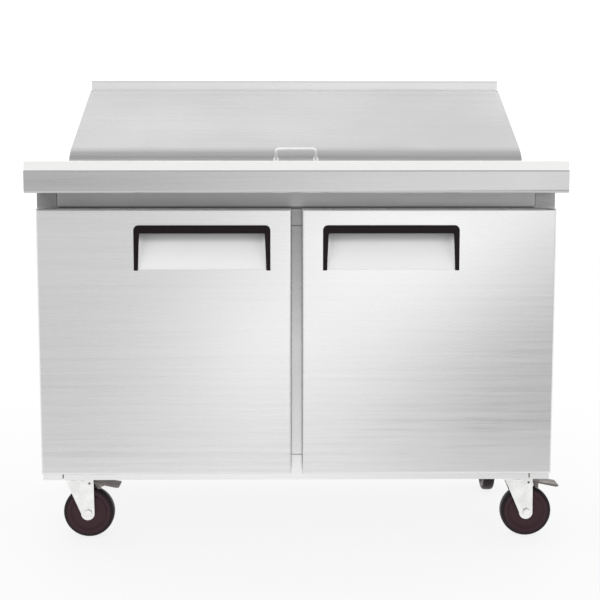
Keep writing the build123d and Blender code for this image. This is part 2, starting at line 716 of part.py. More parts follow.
with BuildPart() as drain_pan:
    block((-170, 30), (200, 350), (machine_floor, 190))
    block((-169, 29), (201, 349), (machine_floor + 1, 191), mode=Mode.SUBTRACT)
save(drain_pan.part, "drain_pan")

grille_y = (back_y - skin, back_y)
with BuildPart() as rear_grille:
    block(back_x, grille_y, (cabinet_bottom, grille_top))
    with BuildSketch(Plane.XZ.offset(-back_y - 1)) as slots:
        for x in (-330, 240):
            with Locations((x, 300)):
                with GridLocations(1, 20, 1, 11):
                    SlotOverall(300, 9)
        with Locations(inlet_at):
            Rectangle(31, 25)
    extrude(amount=5, mode=Mode.SUBTRACT)
save(rear_grille.part, "rear_grille")

# A recessed inlet for a mains lead, with its three contacts.
with BuildPart() as power_inlet:
    inlet_x, inlet_z = inlet_at
    block((inlet_x - 15, inlet_x + 15), (back_y - 24, back_y), (inlet_z - 12, inlet_z + 12))
    socket_z = (inlet_z - 9, inlet_z + 9)
    block((inlet_x - 12, inlet_x + 12), (back_y - 18, back_y + 1), socket_z, mode=Mode.SUBTRACT)
    for across, up in ((-6, -3), (6, -3), (0, 4)):
        x, z = inlet_x + across, inlet_z + up
        block((x - 1, x + 1), (back_y - 19, back_y - 4), (z - 2.5, z + 2.5))
save(power_inlet.part, "power_inlet")

# ---- casters, each modelled about its own swivel axis -------------------------------------
front_caster_y = face_y + caster_inset
back_caster_y = back_y - caster_inset
corners = {
    "front_left": (-caster_x, front_caster_y, 0),
    "front_right": (caster_x, front_caster_y, 0),
    "rear_left": (-caster_x, back_caster_y, 180),
    "rear_right": (caster_x, back_caster_y, -90),
}
bolt_reach = (23, 38)

with BuildPart() as caster_plates:
    for x, y, _ in corners.values():
        block((x - 31, x + 31), (y - 47, y + 47), (plate_low, cabinet_bottom))
        rod((x, y, plate_low), (x, y, 141), kingpin)
save(caster_plates.part, "caster_plates")

with BuildPart() as fork:
    with BuildSketch(Plane((0, 0, 147))):
        Circle(31)
    extrude(amount=7.5)
    fillet(fork.faces().sort_by(Axis.Z)[-1].edges(), 2.5)
    block((-27, 42), (-21.5, 21.5), (143.5, 147.5))
    for y in (-18.5, 21.5):
        with BuildSketch(Plane.XZ.offset(-y)) as leg:
            Polygon((-27, 147), (42, 147), (43, 61), (10.2, 61), align=None)
            with Locations((26.6, 61)):
                Circle(16.4)
        extrude(leg.sketch, amount=3)
    rod((0, 0, 130), (0, 0, 160), kingpin + running, mode=Mode.SUBTRACT)
    rod((trail, -30, wheel_radius), (trail, 30, wheel_radius), axle + running, mode=Mode.SUBTRACT)
    # holes for the pin of the brake lever
    rod((32, -30, 137), (32, 30, 137), 3 + running, mode=Mode.SUBTRACT)

with BuildPart() as axle_bolt:
    rod((trail, -24, wheel_radius), (trail, 24, wheel_radius), axle)
    for y in (-24, 24):
        with BuildSketch(Plane(origin=(trail, y, wheel_radius), z_dir=(0, y, 0))):
            RegularPolygon(9, 6)
        extrude(amount=4.5)

with BuildPart() as wheel:
    half = wheel_width / 2
    with BuildSketch(Plane.XY) as wheel_section:
        with BuildLine():
            Polyline(
                (axle + 0.08, -half - 1.5),
                (21, -half - 1.5),
                (24, -half + 5),
                (46, -half + 4),
                (51, -half),
                (wheel_radius, -half),
                (wheel_radius, half),
                (51, half),
                (46, half - 4),
                (24, half - 5),
                (21, half + 1.5),
                (axle + 0.08, half + 1.5),
                close=True,
            )
        make_face()
        fillet(wheel_section.vertices().group_by(Axis.X)[-1], 6)
        fillet(wheel_section.vertices().filter_by(lambda v: 40 < v.X < 52), 2)
    revolve(axis=Axis.Y)

# Pressed down, the lever holds its pad on the tread.
with BuildPart() as brake_pedal:
    rod((32, -21, 137), (32, 21, 137), 3)
    block((27, 52), (-16, 16), (134.5, 139.5))
    block((50, 58), (-13, 13), (121, 139.5))
    block((46, 58), (-25, 25), (135.5, 139.5))
    with BuildSketch(Plane.XZ.offset(25)) as tread:
        Polygon((54, 139.5), (54, 135.5), (98, 126.5), (105, 127.5), (105, 131), align=None)
    extrude(amount=-50)
    rod((trail, -20, wheel_radius), (trail, 20, wheel_radius), wheel_radius + 0.5, mode=Mode.SUBTRACT)

for corner, (x, y, turn) in corners.items():
    place = Location((x, y, 0), (0, 0, turn))
    yoke = Compound(children=[fork.part.moved(place), axle_bolt.part.moved(place)])
    save(yoke, f"caster_fork_{corner}")
    hub = Location((trail, 0, wheel_radius))
    save(wheel.part.moved(place * hub), f"caster_wheel_{corner}")
    if corner.startswith("front"):
        save(brake_pedal.part.moved(place), f"brake_pedal_{corner.removeprefix('front_')}")

with BuildPart() as screws:
    for x, y, _ in corners.values():
        for along in (-bolt_reach[0], bolt_reach[0]):
            for across in (-bolt_reach[1], bolt_reach[1]):
                rod((x + along, y + across, plate_low - 4), (x + along, y + across, plate_low - 0.1), 6)
save(screws.part, "screws")
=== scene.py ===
import json
from math import cos, pi, radians, sin

import bmesh
import bpy
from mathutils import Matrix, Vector


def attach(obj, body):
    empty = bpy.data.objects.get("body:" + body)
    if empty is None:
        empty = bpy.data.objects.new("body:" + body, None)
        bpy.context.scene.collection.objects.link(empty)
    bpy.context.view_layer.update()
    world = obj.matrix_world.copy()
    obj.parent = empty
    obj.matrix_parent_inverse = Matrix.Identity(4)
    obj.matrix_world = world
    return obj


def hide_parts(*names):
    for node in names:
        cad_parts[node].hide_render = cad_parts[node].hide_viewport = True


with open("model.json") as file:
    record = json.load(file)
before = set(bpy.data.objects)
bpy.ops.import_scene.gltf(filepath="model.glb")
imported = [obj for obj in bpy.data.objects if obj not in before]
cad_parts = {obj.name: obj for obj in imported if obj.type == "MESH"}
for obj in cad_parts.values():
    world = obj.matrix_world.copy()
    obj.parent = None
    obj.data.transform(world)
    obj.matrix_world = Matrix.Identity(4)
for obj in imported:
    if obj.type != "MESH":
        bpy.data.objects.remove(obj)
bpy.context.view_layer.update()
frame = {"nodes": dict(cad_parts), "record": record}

scene = bpy.context.scene
nodes = frame["nodes"]

# ---- shader helpers ---------------------------------------------------------------------

# Most of a noise's values lie between these. The first pair clips a little more of them.
MIDDLE = (0.3, 0.7)
WIDE = (0.25, 0.75)


class NodeTree:
    """A node tree under construction. Most methods add a node and return its output."""

    def __init__(self, tree):
        self.tree = tree

    def set(self, socket, value):
        if isinstance(value, bpy.types.NodeSocket):
            self.tree.links.new(value, socket)
        else:
            socket.default_value = value

    def add(self, kind, *inputs, **settings):
        node = self.tree.nodes.new(kind)
        for key, value in settings.items():
            setattr(node, key, value)
        for key, value in enumerate(inputs):
            if value is not None:
                self.set(node.inputs[key], value)
        return node

    def math(self, operation, *values):
        return self.add("ShaderNodeMath", *values, operation=operation).outputs[0]

    def vector(self, operation, *values):
        node = self.add("ShaderNodeVectorMath", *values, operation=operation)
        return node.outputs["Value" if operation in ("DOT_PRODUCT", "LENGTH") else "Vector"]

    def axis(self, vector, index):
        return self.add("ShaderNodeSeparateXYZ", vector).outputs[index]

    def along(self, direction, axis):
        """1 where the direction runs mostly along the axis, either way, and 0 elsewhere."""
        share = self.math("ABSOLUTE", self.axis(direction, axis))
        return self.math("GREATER_THAN", share, 0.7)

    def joined(self, x, y, z):
        return self.add("ShaderNodeCombineXYZ", x, y, z).outputs[0]

    def turned(self, vector, kind, source, target):
        """A vector taken from one space to another."""
        settings = dict(vector_type=kind, convert_from=source, convert_to=target)
        return self.add("ShaderNodeVectorTransform", vector, **settings).outputs[0]

    def noise(self, at, scale=1.0, detail=2.0, roughness=0.5, stretch=None):
        if stretch is not None:
            at = self.vector("MULTIPLY", at, stretch)
        node = self.add("ShaderNodeTexNoise")
        self.set(node.inputs["Vector"], at)
        self.set(node.inputs["Scale"], scale)
        self.set(node.inputs["Detail"], detail)
        self.set(node.inputs["Roughness"], roughness)
        return node.outputs[0]

    def cells(self, at, scale, feature):
        node = self.add("ShaderNodeTexVoronoi", feature=feature)
        self.set(node.inputs["Vector"], at)
        self.set(node.inputs["Scale"], scale)
        return node.outputs

    def fit(self, value, low, high, start=0.0, end=1.0, smooth=False):
        """Maps low..high onto start..end, clamped."""
        kind = "SMOOTHSTEP" if smooth else "LINEAR"
        node = self.add("ShaderNodeMapRange", value, low, high, start, end, interpolation_type=kind)
        return node.outputs[0]

    def mix(self, factor, a, b, kind="RGBA"):
        """A blend from a to b, which are colours or, with kind VECTOR, vectors."""
        node = self.add("ShaderNodeMix", data_type=kind)
        # the node has a pair of inputs and an output for each kind
        first, result = {"VECTOR": (4, 1), "RGBA": (6, 2)}[kind]
        self.set(node.inputs[0], factor)
        self.set(node.inputs[first], a)
        self.set(node.inputs[first + 1], b)
        return node.outputs[result]

    def shade(self, colour, factor):
        """A colour scaled by a number near 1."""
        node = self.add("ShaderNodeVectorMath", operation="SCALE")
        self.set(node.inputs[0], colour)
        self.set(node.inputs["Scale"], factor)
        return node.outputs[0]

    def bump(self, height, strength, distance):
        node = self.add("ShaderNodeBump")
        self.set(node.inputs["Strength"], strength)
        self.set(node.inputs["Distance"], distance)
        self.set(node.inputs["Height"], height)
        return node.outputs[0]


class Shader(NodeTree):
    """The node tree of a new material."""

    def __init__(self, name):
        self.material = bpy.data.materials.new(name)
        self.material.use_nodes = True
        super().__init__(self.material.node_tree)
        self.surface = self.tree.nodes["Principled BSDF"]

    def place(self):
        """The point in the object's own frame, which is the part's frame at rest."""
        return self.add("ShaderNodeTexCoord").outputs["Object"]

    def normal(self):
        world = self.add("ShaderNodeNewGeometry").outputs["Normal"]
        return self.turned(world, "NORMAL", "WORLD", "OBJECT")

    def output(self, shader):
        self.set(self.tree.nodes["Material Output"].inputs["Surface"], shader)

    def finish(self, **sockets):
        for name, value in sockets.items():
            self.set(self.surface.inputs[name.replace("_", " ")], value)
        return self.material


# ---- materials --------------------------------------------------------------------------

X, Y, Z = 0, 1, 2


def brushed(
    name, tint, roughness, spread=0.06, anisotropy=0.5, cloud=0.05, fine=620.0, depth=0.10, bands=(),
):
    """Sheet steel rubbed along its length, so reflections smear across the grain.

    Each band is painted light or shade, given as (axis, start, end, share, faces): from start to end
    along that axis the tint changes to that share of itself, on every face or only on those that face
    along the axis numbered faces.
    """
    look = Shader(name)
    at, facing = look.place(), look.normal()
    sideways = look.along(facing, X)
    swapped = look.joined(look.axis(at, Y), look.axis(at, X), look.axis(at, Z))
    run = look.mix(sideways, at, swapped, kind="VECTOR")
    hair = look.noise(run, detail=3.0, roughness=0.65, stretch=(7.0, fine, fine))
    streak = look.noise(run, detail=3.0, stretch=(1.3, 95.0, 95.0))
    patch = look.noise(at, scale=2.6, detail=3.0)
    broad = look.fit(streak, *MIDDLE, -spread / 2, spread / 2)
    rough = look.math("ADD", look.fit(hair, *WIDE, -spread, spread), broad)
    rough = look.math("ADD", rough, look.fit(patch, *MIDDLE, roughness - cloud, roughness + cloud))
    value = look.math("ADD", look.fit(hair, *WIDE, -0.035, 0.035), look.fit(streak, *MIDDLE, 0.975, 1.02))
    for axis, start, end, share, faces in bands:
        amount = look.fit(look.axis(at, axis), start, end)
        if faces is not None:
            amount = look.math("MULTIPLY", amount, look.along(facing, faces))
        value = look.math("MULTIPLY", value, look.fit(amount, 0.0, 1.0, 1.0, share))
    # a small lean keeps the grain's direction defined on faces that look straight up
    grain = look.vector("CROSS_PRODUCT", facing, (0.0, 0.05, 1.0))
    smear = look.vector("CROSS_PRODUCT", facing, grain)
    return look.finish(
        Base_Color=look.shade(tint, value), Metallic=1.0, Roughness=rough, Anisotropic=anisotropy,
        Tangent=look.turned(smear, "VECTOR", "OBJECT", "WORLD"),
        Normal=look.bump(hair, strength=depth, distance=0.0002),
    )


def grained(name, tint, roughness, scale, depth, mottle=0.04, painted_shade=None, **extra):
    """Moulded plastic, rubber or paint: a fine pebbled surface with faint variation.

    The optional painted shade is (low, high, share): from low to high along the height the tint falls to
    that share of itself.
    """
    look = Shader(name)
    at = look.place()
    pebble = look.noise(at, scale=scale, detail=2.0)
    patch = look.noise(at, scale=9.0, detail=4.0)
    dull = look.fit(patch, *MIDDLE, roughness - 0.05, roughness + 0.05)
    rough = look.math("ADD", dull, look.fit(pebble, *MIDDLE, -0.03, 0.03))
    pale = look.fit(patch, *WIDE, 1 - mottle, 1 + mottle)
    value = look.math("ADD", pale, look.fit(pebble, *MIDDLE, -mottle / 2, mottle / 2))
    if painted_shade:
        low, high, share = painted_shade
        shadow = look.fit(look.axis(at, Z), low, high, 1.0, share, smooth=True)
        value = look.math("MULTIPLY", value, shadow)
    normal = look.bump(pebble, strength=0.35, distance=depth)
    return look.finish(Base_Color=look.shade(tint, value), Roughness=rough, Normal=normal, **extra)


def galvanised(name):
    """Zinc-coated sheet, with the crystal pattern of the coating."""
    look = Shader(name)
    at = look.place()
    cloud = look.add("ShaderNodeTexNoise", at).outputs["Color"]
    wander = look.vector("MULTIPLY", cloud, (0.02, 0.02, 0.02))
    warped = look.vector("ADD", at, wander)
    tone = look.axis(look.cells(warped, 75.0, "F1")["Color"], X)
    feather = look.noise(warped, scale=420.0, detail=3.0)
    value = look.math("ADD", look.fit(tone, 0, 1, 0.86, 1.08), look.fit(feather, *MIDDLE, -0.06, 0.06))
    rough = look.math("ADD", look.fit(tone, 0, 1, 0.30, 0.46), look.fit(feather, *MIDDLE, -0.05, 0.05))
    return look.finish(
        Base_Color=look.shade((0.62, 0.635, 0.64), value), Metallic=1.0, Roughness=rough,
        Normal=look.bump(feather, strength=0.15, distance=0.0002),
    )


def plated(name, tint, roughness, metal=1.0):
    """Bright zinc plate over a pressing: smooth, with faint draw lines and a dull bloom."""
    look = Shader(name)
    at = look.place()
    bloom = look.noise(at, scale=38.0, detail=4.0)
    lines = look.noise(at, detail=2.0, stretch=(240.0, 240.0, 30.0))
    dull = look.fit(bloom, *MIDDLE, roughness - 0.06, roughness + 0.10)
    rough = look.math("ADD", dull, look.fit(lines, *MIDDLE, -0.03, 0.03))
    value = look.math("ADD", look.fit(bloom, *MIDDLE, 1.03, 0.93), look.fit(lines, *MIDDLE, -0.02, 0.02))
    normal = look.bump(lines, strength=0.12, distance=0.0002)
    return look.finish(Base_Color=look.shade(tint, value), Metallic=metal, Roughness=rough, Normal=normal)


def board_plastic(name):
    """White polyethylene: stippled all over, with fine knife cuts in its top."""
    look = Shader(name)
    at, facing = look.place(), look.normal()
    stipple = look.noise(at, scale=620.0, detail=2.0)
    top = look.math("GREATER_THAN", look.axis(facing, Z), 0.8)
    cuts = 0.0
    # each set of cuts runs at its own angle and has its own offset into the noise
    for turn, offset in ((12, 0.0), (-24, 3.1), (67, 7.7), (99, 12.3)):
        c, d = cos(radians(turn)), sin(radians(turn))
        along = look.math("MULTIPLY", look.vector("DOT_PRODUCT", at, (c, d, 0.0)), 9.0)
        across = look.math("MULTIPLY", look.vector("DOT_PRODUCT", at, (-d, c, 0.0)), 260.0)
        lane = look.joined(along, across, offset)
        cuts = look.math("ADD", look.fit(look.noise(lane, detail=1.0), 0.70, 0.76), cuts)
    cuts = look.math("MULTIPLY", cuts, top)
    patch = look.noise(at, scale=6.0, detail=3.0)
    pale = look.fit(patch, *MIDDLE, 0.985, 1.005)
    value = look.math("SUBTRACT", pale, look.math("MULTIPLY", cuts, 0.10))
    height = look.math("SUBTRACT", look.math("MULTIPLY", stipple, 0.4), cuts)
    return look.finish(
        Base_Color=look.shade((0.90, 0.90, 0.89), value), Roughness=look.fit(patch, *MIDDLE, 0.42, 0.54),
        Normal=look.bump(height, strength=0.3, distance=0.0003), Specular_IOR_Level=0.4,
    )


def foam(name):
    """Rigid polyurethane, cut open: small cells in a straw-coloured body."""
    look = Shader(name)
    at = look.place()
    wall = look.fit(look.cells(at, 420.0, "DISTANCE_TO_EDGE")["Distance"], 0.0, 0.3)
    patch = look.noise(at, scale=14.0, detail=3.0)
    value = look.math("MULTIPLY", look.fit(wall, 0, 1, 1.08, 0.80), look.fit(patch, *MIDDLE, 0.92, 1.05))
    # painted shade: the skin of foam behind the cabinet's front seams is darkened, standing in for the
    # seams' shadow
    painted_seam_shade = look.fit(look.axis(at, Y), -0.2315, -0.2295, 0.10, 1.0)
    value = look.math("MULTIPLY", value, painted_seam_shade)
    normal = look.bump(wall, strength=0.6, distance=0.001)
    return look.finish(Base_Color=look.shade((0.80, 0.70, 0.45), value), Roughness=0.9, Normal=normal)


def fins(name):
    """Thin aluminium fins, with dust caught on their edges."""
    look = Shader(name)
    at = look.place()
    ripple = look.noise(at, detail=2.0, stretch=(30.0, 160.0, 900.0))
    dust = look.noise(at, scale=60.0, detail=4.0)
    value = look.math("ADD", look.fit(dust, 0.35, 0.7, 1.0, 0.80), look.fit(ripple, *MIDDLE, -0.04, 0.04))
    return look.finish(
        Base_Color=look.shade((0.78, 0.79, 0.80), value), Metallic=look.fit(dust, 0.4, 0.8, 1.0, 0.75),
        Roughness=look.fit(dust, 0.35, 0.7, 0.28, 0.5),
        Normal=look.bump(ripple, strength=0.2, distance=0.0003),
    )


PLAIN_STEEL = (0.82, 0.82, 0.82)
# one material for each of the record's slots, then two that only pieces made below wear
materials = {
    "stainless": brushed("Brushed stainless", PLAIN_STEEL, roughness=0.30),
    "liner_sheet": brushed(
        "Liner sheet", (0.84, 0.85, 0.86), roughness=0.36, spread=0.03, anisotropy=0.2, fine=300.0,
    ),
    "galvanised": galvanised("Galvanised sheet"),
    "foam": foam("Foam"),
    "board_white": board_plastic("White board plastic"),
    "black_plastic": grained(
        "Black handle plastic", (0.0115, 0.0065, 0.0085), roughness=0.42, scale=1500.0, depth=0.0002,
        Specular_IOR_Level=0.12,
    ),
    "seal": grained("Grey door seal", (0.20, 0.20, 0.205), roughness=0.55, scale=900.0, depth=0.0002),
    "zinc": plated("Bright zinc", (0.93, 0.93, 0.92), roughness=0.24),
    "wheel_dark": grained(
        "Dark wheel resin", (0.040, 0.016, 0.022), roughness=0.30, scale=700.0, depth=0.0003, mottle=0.16,
        Specular_IOR_Level=0.22,
    ),
    "black_enamel": grained(
        "Black enamel", (0.014, 0.014, 0.015), roughness=0.22, scale=260.0, depth=0.0003,
        Coat_Weight=0.4, Coat_Roughness=0.12,
    ),
    "fin_aluminium": fins("Coil fins"),
    "white_coated_wire": grained(
        "Coated wire", (0.80, 0.80, 0.79), roughness=0.28, scale=500.0, depth=0.0002,
        Coat_Weight=0.3, Coat_Roughness=0.15,
    ),
    "grey_plastic": grained(
        "Grey plastic", (0.085, 0.088, 0.092), roughness=0.42, scale=900.0, depth=0.0002,
    ),
    # the white moulding carries painted shade near its top, under the door's bar
    "moulding": grained(
        "White moulding", (0.985, 0.985, 0.985), roughness=0.34, scale=600.0, depth=0.0001, mottle=0.01,
        painted_shade=(0.732, 0.760, 0.30), Specular_IOR_Level=0.5,
    ),
    "tread": grained(
        "Wheel tread", (0.013, 0.007, 0.009), roughness=0.42, scale=500.0, depth=0.0004,
        Specular_IOR_Level=0.2,
    ),
}

# These nodes have looks of their own, with the light and shade that their places give them.
pedal = plated("Pedal plate", (0.21, 0.185, 0.175), roughness=0.40)
# a painted highlight along the doors' top edges
door_steel = brushed(
    "Door stainless", PLAIN_STEEL, roughness=0.30, bands=[(Z, 0.8095, 0.8125, 1.21, None)],
)
# painted light makes the side panels' front flanges paler than their sides, and painted shade from the
# counter darkens them at the top
side_steel = brushed(
    "Side stainless", (0.71, 0.71, 0.71), roughness=0.30,
    bands=[(Z, 0.0, 0.1, 1.32, Y), (Z, 0.78, 0.82, 0.34, Y)],
)
in_shade = 0.35
own = {
    # painted shade: dark in a line just above the doors, and itself again in the gap between them; the
    # rail's tint, darker than plain steel, is painted shade from the counter above
    "front_top_rail": brushed(
        "Rail stainless", (0.63, 0.63, 0.63), roughness=0.55, anisotropy=0.2,
        bands=[(Z, 0.8195, 0.8165, in_shade, None), (Z, 0.8112, 0.8104, 1 / in_shade, None)],
    ),
    # in shade toward its top
    "centre_mullion": brushed(
        "Mullion stainless", (0.97, 0.97, 0.97), roughness=0.40, bands=[(Z, 0.20, 0.80, 0.38, None)],
    ),
    "door_skin_left": door_steel,
    "door_skin_right": door_steel,
    "side_panel_left": side_steel,
    "side_panel_right": side_steel,
    # a painted highlight along the lid's back edge
    "lid_shell": brushed(
        "Lid stainless", (0.83, 0.83, 0.83), roughness=0.30, bands=[(Y, 0.305, 0.336, 1.24, None)],
    ),
    "counter_shelf": brushed("Apron stainless", (0.60, 0.60, 0.60), roughness=0.30),
    "front_bottom_rail": brushed("Bottom rail stainless", (0.93, 0.93, 0.93), roughness=0.30),
    "lid_handle": plated("Pull wire", (1.0, 1.0, 1.0), roughness=0.40, metal=0.30),
    "brake_pedal_left": pedal,
    "brake_pedal_right": pedal,
    "food_pans": brushed(
        "Pan steel", PLAIN_STEEL, roughness=0.22, spread=0.03, anisotropy=0.2, fine=400.0,
    ),
}
slot_of = {part["node"]: part["material_slot"] for part in frame["record"]["subparts"]}
for name, obj in nodes.items():
    for slot in obj.material_slots:
        slot.material = own.get(name, materials[slot_of[name]])

# ---- pieces rebuilt in mesh -------------------------------------------------------------


def piece(name, body, slot, points, faces, look=None, replaced=(), seam_angle=40):
    """One mesh piece that rides on a body. Edges sharper than seam_angle stay crisp."""
    mesh = bpy.data.meshes.new(name)
    mesh.from_pydata(points, [], faces)
    work = bmesh.new()
    work.from_mesh(mesh)
    bmesh.ops.remove_doubles(work, verts=work.verts, dist=1e-6)
    bmesh.ops.recalc_face_normals(work, faces=work.faces)
    for face in work.faces:
        face.smooth = True
    for edge in work.edges:
        edge.smooth = len(edge.link_faces) < 2 or edge.calc_face_angle() < radians(seam_angle)
    work.to_mesh(mesh)
    work.free()
    obj = bpy.data.objects.new(name, mesh)
    scene.collection.objects.link(obj)
    mesh.materials.append(look or materials[slot])
    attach(obj, body)
    if replaced:
        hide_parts(*replaced)
    return obj


def joined_points(loops):
    return [point for loop in loops for point in loop]


def skin_loops(loops, closed=False, capped=False, first=0):
    """Faces between loops of equal length, each a closed ring of points."""
    count, faces = len(loops[0]), []
    pairs = list(zip(range(len(loops)), range(1, len(loops))))
    if closed:
        pairs.append((len(loops) - 1, 0))
    for a, b in pairs:
        for n in range(count):
            m = (n + 1) % count
            corners = (a * count + n, a * count + m, b * count + m, b * count + n)
            faces.append(tuple(first + k for k in corners))
    if capped:
        faces.append(tuple(first + n for n in range(count)))
        faces.append(tuple(first + (len(loops) - 1) * count + n for n in reversed(range(count))))
    return faces


def rounded_rectangle(half_x, half_y, radius, steps=7):
    """Points of a rounded rectangle about the origin."""
    ring = []
    for corner, (sx, sy) in enumerate(((1, 1), (-1, 1), (-1, -1), (1, -1))):
        for k in range(steps + 1):
            angle = radians(90) * (corner + k / steps)
            x = sx * (half_x - radius) + radius * cos(angle)
            ring.append((x, sy * (half_y - radius) + radius * sin(angle)))
    return ring


def spun(centre, axis, outline, steps):
    """Loops of an (along, radius) outline, in millimetres, spun round a line through centre."""
    axis = Vector(axis)
    across = axis.orthogonal().normalized()
    third = axis.cross(across)
    loops = []
    for along, radius in outline:
        ring = []
        for n in range(steps):
            angle = 2 * pi * n / steps
            spoke = across * cos(angle) + third * sin(angle)
            ring.append(tuple(Vector(centre) + (axis * along + spoke * radius) / 1000))
        loops.append(ring)
    return loops


HANDS = ((-1, "left"), (1, "right"))

# The doors' recesses are lined with a smooth white moulding that slopes back behind the bar.
recess_x, recess_z = (0.0665, 0.3725), (0.6735, 0.7752)
recess_front, recess_depth = -0.2922, 0.0284
rim_width = 0.012  # the lining comes forward to the recess's edge over this width at each end
slope_height = 0.0745  # it leans back over this height and stands upright above
bow = 0.10  # the slope bows forward by up to this share of its depth
columns, rows = 72, 28
for side, hand in HANDS:
    points, faces = [], []
    for i in range(columns + 1):
        x = recess_x[0] + i / columns * (recess_x[1] - recess_x[0])
        margin = min(x - recess_x[0], recess_x[1] - x)
        rim = min(1.0, margin / rim_width) ** 0.5
        for j in range(rows + 1):
            z = recess_z[0] + j / rows * (recess_z[1] - recess_z[0])
            slope = min(1.0, (z - recess_z[0]) / slope_height)
            back = slope - bow * sin(pi * slope)
            points.append((side * x, recess_front + recess_depth * back * rim, z))
    for i in range(columns):
        for j in range(rows):
            a = i * (rows + 1) + j
            faces.append((a, a + 1, a + rows + 2, a + rows + 1))
    piece(
        "pull_liner_" + hand, "door_" + hand, "board_white", points, faces,
        look=materials["moulding"], seam_angle=70,
    )

# Each door seal is a mitred frame: a foot pushed into the door, a pleated side and a magnet pocket.
# A point is how far in from the seal's outer edge and how far back from the door, in millimetres.
seal_profile = (
    (0.0, 0.0), (14.0, 0.0), (14.0, 1.2), (12.6, 1.6), (11.6, 2.4), (12.8, 3.2), (12.8, 3.8), (11.8, 4.4),
    (13.4, 5.2), (14.0, 6.2), (13.8, 7.8), (12.8, 8.7), (3.4, 8.7), (2.2, 8.1), (1.8, 7.0), (2.2, 5.4),
    (4.0, 4.6), (3.0, 3.9), (3.0, 3.2), (4.2, 2.6), (3.0, 1.7), (0.0, 1.2),
)
seal_x, seal_z, seal_y = (0.0145, 0.584), (0.200, 0.794), -0.2429
for side, hand in HANDS:
    loops = []
    for outer, upper in ((0, 0), (1, 0), (1, 1), (0, 1)):
        inward_x, inward_z = 1 - 2 * outer, 1 - 2 * upper
        loops.append([
            (
                side * (seal_x[outer] + inward_x * inset / 1000),
                seal_y + back / 1000,
                seal_z[upper] + inward_z * inset / 1000,
            )
            for inset, back in seal_profile
        ])
    piece(
        "seal_" + hand, "door_" + hand, "seal", joined_points(loops), skin_loops(loops, closed=True),
        replaced=("door_gasket_" + hand,), seam_angle=55,
    )

# The food pans: a rolled rim, a shoulder, drawn walls and a dished bottom, in one sheet.
# A step is how far in from the rim's edge, the height from the rim's top and the corner radius, in
# millimetres.
pan_steps = (
    (0.6, -0.9, 17.6), (0.1, -0.55, 17.9), (0.15, -0.2, 17.9), (0.6, 0.0, 17.6), (10.2, 0.0, 18.0),
    (11.8, -0.5, 19.0), (13.0, -1.7, 19.6), (13.9, -4.0, 20.0), (16.0, -42.0, 21.0), (18.2, -86.0, 22.0),
    (19.2, -93.0, 22.0), (22.0, -97.6, 20.0), (27.0, -99.4, 17.0), (40.0, -99.6, 9.0), (60.0, -98.8, 4.0),
)
wall_from = 5  # the first step that is below the rim, so it has an outside too
pan_sheet, under_drop = 0.9, 0.3
under_rim = (10.0, -pan_sheet, 18.0)
outer_steps = [
    (inset - pan_sheet, drop - under_drop, radius)
    for inset, drop, radius in reversed(pan_steps[wall_from:])
]
pan_top, pan_middle_y = 0.9047, 0.136
pan_columns, pan_rows = 6, 2
pan_pitch_x, pan_pitch_y = 0.1775, 0.164
rim_x, rim_y = 88.0, 81.0  # half the rim's width and length, in millimetres
points, faces = [], []
for column in range(pan_columns):
    for row in range(pan_rows):
        centre_x = (column - (pan_columns - 1) / 2) * pan_pitch_x
        centre_y = pan_middle_y + (row - (pan_rows - 1) / 2) * pan_pitch_y
        loops = []
        for inset, drop, radius in (*pan_steps, *outer_steps, under_rim):
            ring = rounded_rectangle(rim_x - inset, rim_y - inset, radius)
            z = pan_top + drop / 1000
            loops.append([(centre_x + x / 1000, centre_y + y / 1000, z) for x, y in ring])
        first, count = len(points), len(loops[0])
        inside, outside = loops[:len(pan_steps)], loops[len(pan_steps):]
        bottom = first + (len(inside) - 1) * count
        under = first + len(inside) * count
        last = first + (len(loops) - 1) * count
        points += joined_points(loops)
        faces += skin_loops(inside, first=first)
        faces += skin_loops(outside, first=under)
        for n in range(count):
            m = (n + 1) % count
            faces.append((last + n, last + m, first + m, first + n))
        faces.append(tuple(bottom + n for n in range(count)))
        faces.append(tuple(under + n for n in reversed(range(count))))
piece(
    "pans_pressed", "cabinet", "stainless", points, faces,
    look=own["food_pans"], replaced=("food_pans",), seam_angle=60,
)

# Wheels: a hub boss, a dished web with a raised bead, and a tread with rounded shoulders.
# A point is how far along the axle and its radius, in millimetres.
half_wheel = [
    (17.4, 6.2), (17.4, 17.0), (16.4, 19.4), (13.0, 21.4), (11.6, 24.0), (11.0, 28.0), (11.0, 38.0),
    (11.6, 42.0), (13.6, 44.0), (15.2, 45.4), (15.6, 47.0), (15.0, 49.0), (15.2, 50.2), (15.9, 51.4),
    (15.9, 53.6), (15.4, 56.6), (14.0, 59.2), (12.0, 61.0), (9.0, 62.0), (4.0, 62.4),
]
wheel_outline = half_wheel + [(-along, radius) for along, radius in reversed(half_wheel)]
tread_from = 54.0  # the radius past which the wheel is tread
caster_x, caster_y = 0.540, {"front": -0.158, "rear": 0.306}
trail, hub_height = 0.028, 0.0625
axle_x, axle_y = (1, 0, 0), (0, 1, 0)
# each swivel's middle, on plan
casters = {
    end + "_" + hand: (side * caster_x, y) for end, y in caster_y.items() for side, hand in HANDS
}
# where each hub lies from its swivel's middle, and which way its axle runs
hub_from_swivel = {
    "front_left": (trail, 0.0, axle_y),
    "front_right": (trail, 0.0, axle_y),
    "rear_left": (-trail, 0.0, axle_y),
    "rear_right": (0.0, -trail, axle_x),
}
for corner, (x, y) in casters.items():
    hub_x, hub_y, axle = hub_from_swivel[corner]
    hub = (x + hub_x, y + hub_y, hub_height)
    loops = spun(hub, axle, wheel_outline, 96)
    wheel = piece(
        "wheel_formed_" + corner, "wheel_" + corner, "wheel_dark",
        joined_points(loops), skin_loops(loops, closed=True),
        replaced=("caster_wheel_" + corner,), seam_angle=50,
    )
    wheel.data.materials.append(materials["tread"])
    line = Vector(axle)
    for polygon in wheel.data.polygons:
        out = polygon.center + wheel.matrix_world.translation - Vector(hub)
        polygon.material_index = int((out - line * out.dot(line)).length * 1000 > tread_from)

